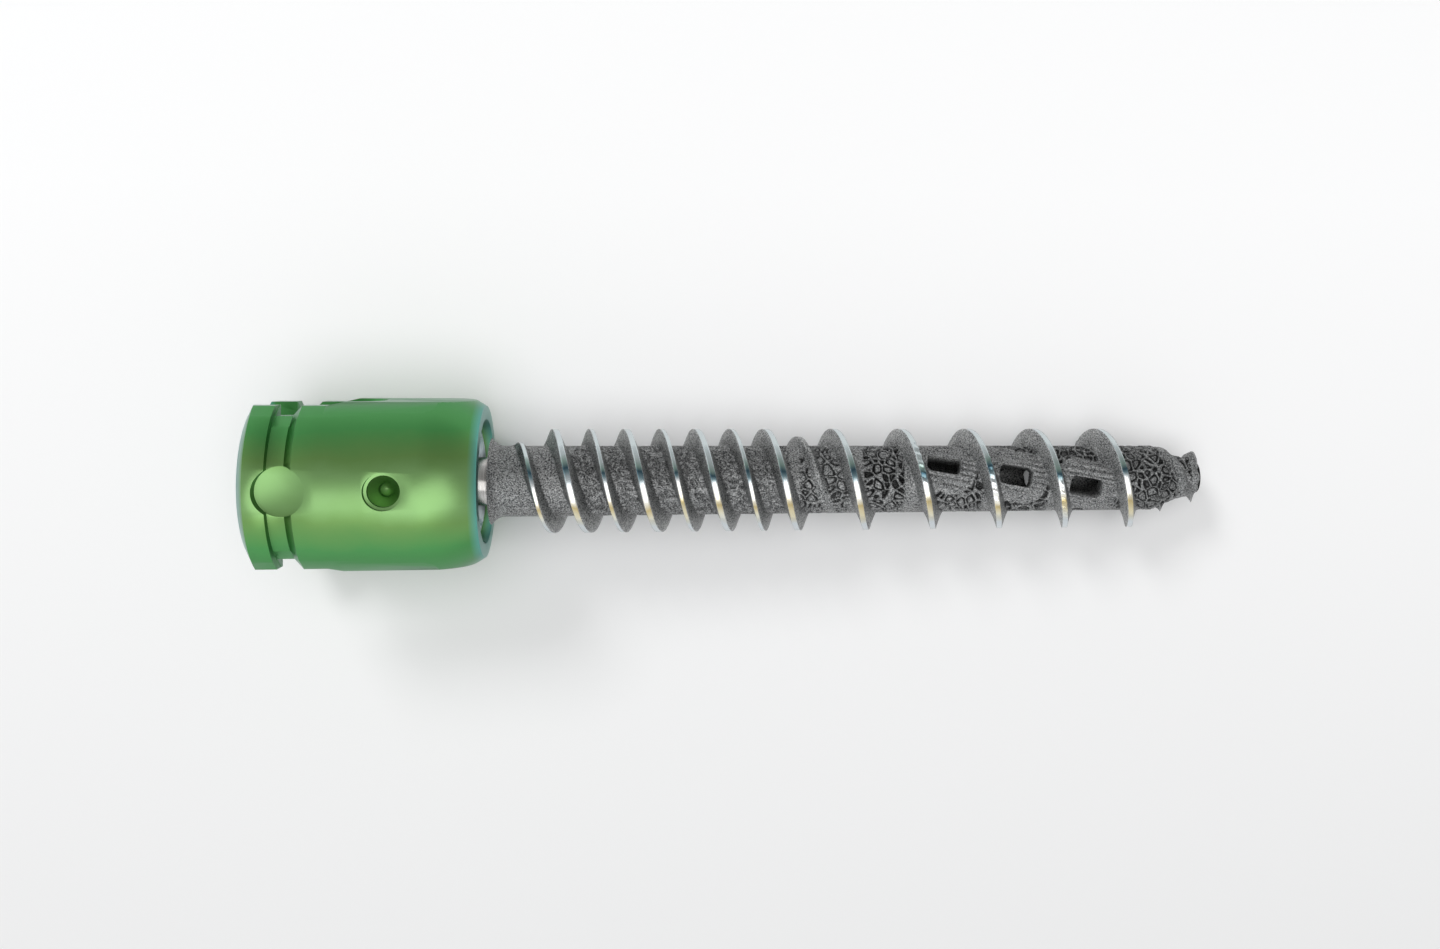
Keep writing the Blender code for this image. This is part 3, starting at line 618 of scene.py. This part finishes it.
LAP = 0.04
ARM, ARM_IN_GROOVE, BASE = (7.75, HEAD), (6.78, GROOVE_FLOOR), (8.08, HEAD)
mill(head, [flats([(-34.0, *ARM), (groove + LAP, *ARM), (groove + LAP, *ARM_IN_GROOVE),
                   (groove_end + LAP, *ARM_IN_GROOVE), (slope_end + LAP, *ARM), (-7.95, *ARM),
                   (-6.6, *BASE), (20.0, *BASE)])], 'INTERSECT')

# %% [markdown]
# The bore between the arms is threaded for the set screw that clamps the rod. The thread is a
# triangle swept along a helix and cut away, one millimetre of pitch, from the top down to the rod.

# %% Thread for the set screw
thread = []
for k in range(48 * 8 + 1):
    turn = 2.0 * math.pi * k / 48.0
    middle = END - 0.6 + k / 48.0
    thread.append([(middle + dx, r * math.cos(turn), r * math.sin(turn))
                   for dx, r in ((-0.42, 5.3), (-0.05, 5.86), (0.05, 5.86), (0.42, 5.3))])
mill(head, [swept("set_screw_thread", thread)])

# %% [markdown]
# The rod slot, the pocket and the stake hole on each arm, and the two small notches in the mouth are
# milled and drilled. Each hole keeps its steps: a wide counterbore, a straight wall, a cone and the
# drill's own small end.

# %% Rod slot, pockets, stake holes and mouth notches
SLOT = 3.0
u_slot = [(-34.0, SLOT)] + [(-6.2 + SLOT * math.sin(a), SLOT * math.cos(a))
                            for a in np.linspace(0, math.pi, 33)] + [(-34.0, -SLOT)]
POCKET = 2.35
cuts = [swept("slot", [[(x, y, z) for x, z in u_slot] for y in (-18.0, 18.0)])]
for side in (1.0, -1.0):
    circle = [(math.cos(a), math.sin(a)) for a in np.linspace(0.0, 2.0 * math.pi, 73)[:-1]]
    cuts.append(swept("pocket", [[(END + 4.04 + POCKET * c, POCKET * s, side * z) for c, s in circle]
                                 for z in (8.0, 18.0)]))
    steps = [(18.0, 1.785), (8.62, 1.785), (8.619, 1.5), (8.1, 1.5), (7.3, 0.69), (6.64, 0.62),
             (6.27, 0.01)]
    cuts.append(swept("stake", [[(END + 13.22 + r * c, r * s, side * z) for c, s in circle]
                                for z, r in steps]))
    notch = [(side * 5.35, 0.0), (side * 5.775, 0.5), (side * 6.2, 0.0), (side * 5.775, -0.5)]
    cuts.append(swept("notch", [[(x, y, z) for y, z in notch] for x in (5.1, 9.0)]))
mill(head, cuts)
ease_edges(head, 0.07)
print("head: %d faces" % len(head.data.polygons))

# %% [markdown]
# ## The saddle
# Between the rod and the ball sits a loose ring with a channel across its top, which passes the set
# screw's force on to the ball. It slides a fraction of a millimetre.

# %% Pressure saddle
ROD = 2.8
HOLE = 2.6
SKIRT = -2.2
hole_x = -math.sqrt(SEAT ** 2 - HOLE ** 2)
rod_axis = hole_x - 0.8 - ROD
saddle_top = rod_axis - 0.4
cup = arc((0.0, 0.0), SEAT, math.degrees(math.acos(SKIRT / SEAT)),
          math.degrees(math.acos(hole_x / SEAT)), 16)
saddle = turned("rod_saddle", [(saddle_top, HOLE), (saddle_top, SEAT), (SKIRT, SEAT)] + cup, 128)
channel = [(-30.0, ROD)] + [(rod_axis + ROD * math.sin(a), ROD * math.cos(a))
                            for a in np.linspace(0, math.pi, 33)] + [(-30.0, -ROD)]
mill(saddle, [swept("channel", [[(x, y, z) for x, z in channel] for y in (-12.0, 12.0)])])
ease_edges(saddle, 0.08)

# %% [markdown]
# Every piece is drawn, so each is laid down in the place of its CAD node and told which body it moves
# with. The sleeve and the post belong to the shank, and the others hang on the ball joint.

# %% Lay the pieces down
for piece in (sleeve_lower, sleeve_upper, sleeve_lining):
    lay(piece, "shank", "fusion_sleeve")
lay(post, "shank", "fixation_post")
lay(collet, "collet", "retaining_collet")
lay(head, "head", "tulip_head")
lay(saddle, "saddle", "pressure_saddle")

# %% [markdown]
# ## Finishes
# Anodising grows a clear oxide film on titanium, and its thickness sets the colour. This head is
# green, bead-blasted first, so it is satin with a fine grain, and turns to teal where it is seen
# edge on. The tint at the edge belongs to the metal shader itself. A slow noise varies the green at
# random. Over it lies painted sheen: yellow green in the middle of each arm, deep green away from it,
# and teal at both ends of the head.

# %% Anodised titanium, bead-blasted, green
def new_finish(name, metallic, roughness):
    material = bpy.data.materials.new(name)
    material.use_nodes = True
    tree = material.node_tree
    shader = tree.nodes["Principled BSDF"]
    shader.inputs["Metallic"].default_value = metallic
    shader.inputs["Roughness"].default_value = roughness
    return material, tree, shader


def per_mm(size):
    """Noise scale for a feature of this size in millimetres."""
    return 1.0 / (size * MM)


anodised, tree, shader = new_finish("anodised_titanium_green", 1.0, 0.36)
shader.inputs["Specular Tint"].default_value = linear("#7fb3ac")
shader.inputs["Coat Weight"].default_value = 1.0
shader.inputs["Coat Roughness"].default_value = 0.3
place = add(tree, "ShaderNodeTexCoord").outputs["Object"]
cloud = add(tree, "ShaderNodeTexNoise", {"Vector": place, "Scale": per_mm(6.0), "Detail": 3.0})
split = add(tree, "ShaderNodeSeparateXYZ", {"Vector": place})
# painted sheen: yellow green in the middle of each arm, deep green away from it
painted_sheen_across_arm = add(tree, "ShaderNodeMath", {0: split.outputs["Y"]}, operation='ABSOLUTE')
painted_sheen_across_arm = rescaled(tree, painted_sheen_across_arm.outputs[0], 1.5 * MM, 7.0 * MM)
film_and_sheen = add(tree, "ShaderNodeMath", {0: cloud.outputs["Fac"], 1: 0.5, 2: painted_sheen_across_arm},
           operation='MULTIPLY_ADD')
tone = toned(tree, film_and_sheen.outputs[0], [(0.25, "#729e5a"), (0.5, "#628f42"), (1.0, "#338838")])
# painted sheen: teal towards both ends of the head
painted_teal_ends = add(tree, "ShaderNodeMath", {0: split.outputs["X"], 1: -(END + FACE) / 2.0 * MM})
painted_teal_ends = add(tree, "ShaderNodeMath", {0: painted_teal_ends.outputs[0]}, operation='ABSOLUTE')
painted_teal_ends = rescaled(tree, painted_teal_ends.outputs[0], (FACE - END - 1.6) / 2.0 * MM, (FACE - END - 0.1) / 2.0 * MM)
tone_and_painted_teal = add(tree, "ShaderNodeMix", {0: painted_teal_ends, 6: tone, 7: linear("#4f9d90")},
           data_type='RGBA')
tree.links.new(tone_and_painted_teal.outputs[2], shader.inputs["Base Color"])
grain = add(tree, "ShaderNodeTexNoise", {"Vector": place, "Scale": per_mm(0.16), "Detail": 2.0})
bumped(tree, shader, grain.outputs["Fac"], 0.25, 0.02)

# %% [markdown]
# Printed titanium is a skin of half-melted powder grains. It is grey, scatters light widely and
# glitters a little where a grain faces the lamp. Two values stored on the strip steer painted light in
# its tone: the relief paints shade that makes it darker inside the cells, and the flank paints light
# that makes it a little lighter up the ridges.

# %% Printed titanium, as built
printed, tree, shader = new_finish("printed_titanium_grainy", 1.0, 0.5)
place = add(tree, "ShaderNodeTexCoord").outputs["Object"]
powder = add(tree, "ShaderNodeTexNoise", {"Vector": place, "Scale": per_mm(0.14), "Detail": 3.0,
                                           "Roughness": 0.65})
patches = add(tree, "ShaderNodeTexNoise", {"Vector": place, "Scale": per_mm(1.3), "Detail": 3.0})
mixed = add(tree, "ShaderNodeMath", {0: powder.outputs["Fac"], 1: 0.88}, operation='MULTIPLY')
mixed = add(tree, "ShaderNodeMath", {0: patches.outputs["Fac"], 1: 0.12, 2: mixed.outputs[0]},
            operation='MULTIPLY_ADD')
tone = toned(tree, mixed.outputs[0], [(0.38, "#3c3d3f"), (0.64, "#bcbdbc")])
depth = add(tree, "ShaderNodeAttribute", attribute_name="relief")
# painted shade: darker inside the cells, by their depth
painted_cell_shade = rescaled(tree, depth.outputs["Fac"], 0.08, 0.55, 0.94, 0.2)
side = add(tree, "ShaderNodeAttribute", attribute_name="flank")
# painted light: a little lighter up the ridges' flanks
painted_flank_light = rescaled(tree, side.outputs["Fac"], 0.1, 0.6, 1.0, 1.4)
level = add(tree, "ShaderNodeMath", {0: painted_cell_shade, 1: painted_flank_light}, operation='MULTIPLY')
shade = add(tree, "ShaderNodeVectorMath", {0: tone, "Scale": level.outputs[0]},
            operation='SCALE')
tree.links.new(shade.outputs[0], shader.inputs["Base Color"])
gloss = rescaled(tree, powder.outputs["Fac"], 0.35, 0.7, 0.62, 0.40)
tree.links.new(gloss, shader.inputs["Roughness"])
bumped(tree, shader, powder.outputs["Fac"], 0.9, 0.08)

# %% [markdown]
# The crests are turned after printing and are bright. Their colour holds painted reflections: pale
# grey, white, straw and a dark teal band, laid round the shaft by the angle as a room would mirror in
# them, and a slow noise moves them a little from turn to turn.

# %% Turned titanium, on the crests, with painted reflections
crest_metal_painted_reflections, tree, shader = new_finish("turned_titanium_crest", 1.0, 0.2)
place = add(tree, "ShaderNodeTexCoord").outputs["Object"]
split = add(tree, "ShaderNodeSeparateXYZ", {"Vector": place})
angle = add(tree, "ShaderNodeMath", {0: split.outputs["Z"], 1: split.outputs["Y"]}, operation='ARCTAN2')
patches = add(tree, "ShaderNodeTexNoise", {"Vector": place, "Scale": per_mm(3.0), "Detail": 1.0})
shift = add(tree, "ShaderNodeMath", {0: patches.outputs["Fac"], 1: 0.5, 2: angle.outputs[0]},
            operation='MULTIPLY_ADD')
share = rescaled(tree, shift.outputs[0], 0.23, 0.23 + math.pi)
# painted reflections: pale, white, straw and dark teal by the angle round the shaft
stops = [(0.0, "#c9d0d4"), (0.33, "#c6d0d0"), (0.39, "#93aba2"), (0.43, "#3a5866"), (0.46, "#7d979e"),
         (0.51, "#f2f4f5"), (0.59, "#e9e6da"), (0.64, "#bfae7e"), (0.71, "#cfcab4"), (0.80, "#ccd3d7"),
         (1.0, "#d4dade")]
tree.links.new(toned(tree, share, stops), shader.inputs["Base Color"])

# %% [markdown]
# The ring, the saddle and the post are bare machined titanium: a pale, slightly warm grey, polished
# where the ball turns and satin elsewhere.

# %% Machined titanium, bare
def machined(name, hex_dark, hex_light, roughness):
    material, tree, shader = new_finish(name, 1.0, roughness)
    place = add(tree, "ShaderNodeTexCoord").outputs["Object"]
    marks = add(tree, "ShaderNodeMapping", {"Vector": place, "Scale": (1.0, 0.05, 0.05)})
    lines = add(tree, "ShaderNodeTexNoise", {"Vector": marks.outputs[0], "Scale": per_mm(0.12),
                                             "Detail": 2.0})
    tone = toned(tree, lines.outputs["Fac"], [(0.3, hex_dark), (0.7, hex_light)])
    tree.links.new(tone, shader.inputs["Base Color"])
    bumped(tree, shader, lines.outputs["Fac"], 0.3, 0.01)
    return material


ring_metal = machined("machined_titanium_pale", "#b9c6cb", "#dde5e8", 0.3)
saddle_metal = machined("machined_titanium_satin", "#9a9b9d", "#bcbdbf", 0.36)
post_metal = machined("machined_titanium_polished", "#a9a6a3", "#c9c7c4", 0.22)

for piece, finishes in ((sleeve_lower, (printed, crest_metal_painted_reflections)), (sleeve_upper, (printed, crest_metal_painted_reflections)),
                        (sleeve_lining, (printed,)), (head, (anodised,)), (collet, (ring_metal,)),
                        (saddle, (saddle_metal,)), (post, (post_metal,))):
    for finish in finishes:
        piece.data.materials.append(finish)
for node, finish in (("fusion_sleeve", printed), ("fixation_post", post_metal),
                     ("tulip_head", anodised), ("retaining_collet", ring_metal),
                     ("pressure_saddle", saddle_metal)):
    frame["nodes"][node].data.materials.clear()
    frame["nodes"][node].data.materials.append(finish)

# %% [markdown]
# ## Light, floor and camera
# The implant lies on a pale table. Its colour holds painted shade: white at the far side and greyer
# near.

# %% Table
def table():
    bm = bmesh.new()
    bmesh.ops.create_grid(bm, x_segments=2, y_segments=2, size=1.5)
    mesh = bpy.data.meshes.new("table")
    bm.to_mesh(mesh)
    bm.free()
    material = bpy.data.materials.new("matt_laminate_white")
    material.use_nodes = True
    tree = material.node_tree
    shader = tree.nodes["Principled BSDF"]
    shader.inputs["Roughness"].default_value = 0.8
    shader.inputs["Specular IOR Level"].default_value = 0.1
    place = add(tree, "ShaderNodeTexCoord").outputs["Object"]
    split = add(tree, "ShaderNodeSeparateXYZ", {"Vector": place})
    # painted shade: greyer towards the near side
    distance = rescaled(tree, split.outputs["Y"], -0.055, 0.03)
    tone = toned(tree, distance, [(0.0, "#ececec"), (1.0, "#fcfcfc")])
    tree.links.new(tone, shader.inputs["Base Color"])
    mesh.materials.append(material)
    placed("table", mesh)


table()


# %% [markdown]
# The key lamp at the upper left throws the soft shadow to the lower right, and a wide soft sun overhead
# fills that shadow. Both are there for the table only: the implant is all metal, and what a metal
# shows is what it mirrors. It mirrors a room that is pale near the horizon and greyer overhead and
# towards the tip. That gives the head its dark band above the middle and shades the far side of each
# crest. It also mirrors one sheen panel, which draws the light band below
# it. The world is dimmer for the light that it scatters on the table, which the lamps make up for.

# %% Lamps and world
def panel(name, place, size, watts):
    """A rectangular lamp that faces the implant's place on the table."""
    data = bpy.data.lights.new(name, 'AREA')
    data.shape = 'RECTANGLE'
    data.size, data.size_y = size
    data.energy = watts
    lamp = placed(name, data)
    lamp.location = place
    lamp.rotation_euler = (-Vector(place)).to_track_quat('-Z', 'Y').to_euler()
    return lamp


key = panel("key_lamp", (-0.72, 0.99, 1.05), (0.45, 0.45), 8.0)
key.visible_glossy = False
overhead = bpy.data.lights.new("overhead_sun", 'SUN')
overhead.angle = math.radians(60.0)
overhead.energy = 1.6
fill = placed("overhead_sun", overhead)
fill.visible_glossy = False
sheen = panel("sheen_panel", (0.045, -0.10, 0.34), (0.36, 0.26), 0.46)
sheen.visible_diffuse = False
world = bpy.data.worlds.new("studio")
bpy.context.scene.world = world
world.use_nodes = True
tree = world.node_tree
background = tree.nodes["Background"]
ray = add(tree, "ShaderNodeLightPath")
level = rescaled(tree, ray.outputs["Is Diffuse Ray"], 0.0, 1.0, 1.2, 0.5)
tree.links.new(level, background.inputs["Strength"])
sky = add(tree, "ShaderNodeTexCoord")
sides = add(tree, "ShaderNodeSeparateXYZ", {"Vector": sky.outputs["Generated"]})
height = add(tree, "ShaderNodeMath", {0: sides.outputs["Z"], 1: 0.8}, operation='MULTIPLY')
for axis in "YX":
    height = add(tree, "ShaderNodeMath", {0: sides.outputs[axis], 1: 0.4, 2: height.outputs[0]},
                 operation='MULTIPLY_ADD')
tone = toned(tree, height.outputs[0], [(0.0, "#f4f6f8"), (0.92, "#a0a0a0")])
tree.links.new(tone, background.inputs["Color"])

# %% [markdown]
# The camera stands where the photographer's did. Its place, direction and focal length come from the
# outlines of the thread and the head in the picture, given here in the implant's own axes.

# %% Camera
WIDTH, HEIGHT = 1440.0, 949.0
camera_data = bpy.data.cameras.new("camera")
camera = placed("camera", camera_data)
right = Vector((0.98951, 0.00905, 0.14415))
view = Vector((0.14443, -0.05157, -0.98816))
up = Vector((-0.0015, 0.99863, -0.05234))
turn = Matrix((right, up, -view)).transposed().to_4x4()
camera.matrix_world = LAID @ Matrix.Translation(Vector((24.956, 15.04, 145.15)) * MM) @ turn
camera_data.sensor_width = 36.0
camera_data.lens = 1422.6 / WIDTH * camera_data.sensor_width
camera_data.shift_x = (WIDTH / 2.0 - 885.757) / WIDTH
camera_data.shift_y = (407.008 - HEIGHT / 2.0) / WIDTH
camera_data.clip_start = 0.01
bpy.context.scene.camera = camera
bpy.context.scene.view_settings.view_transform = 'Standard'
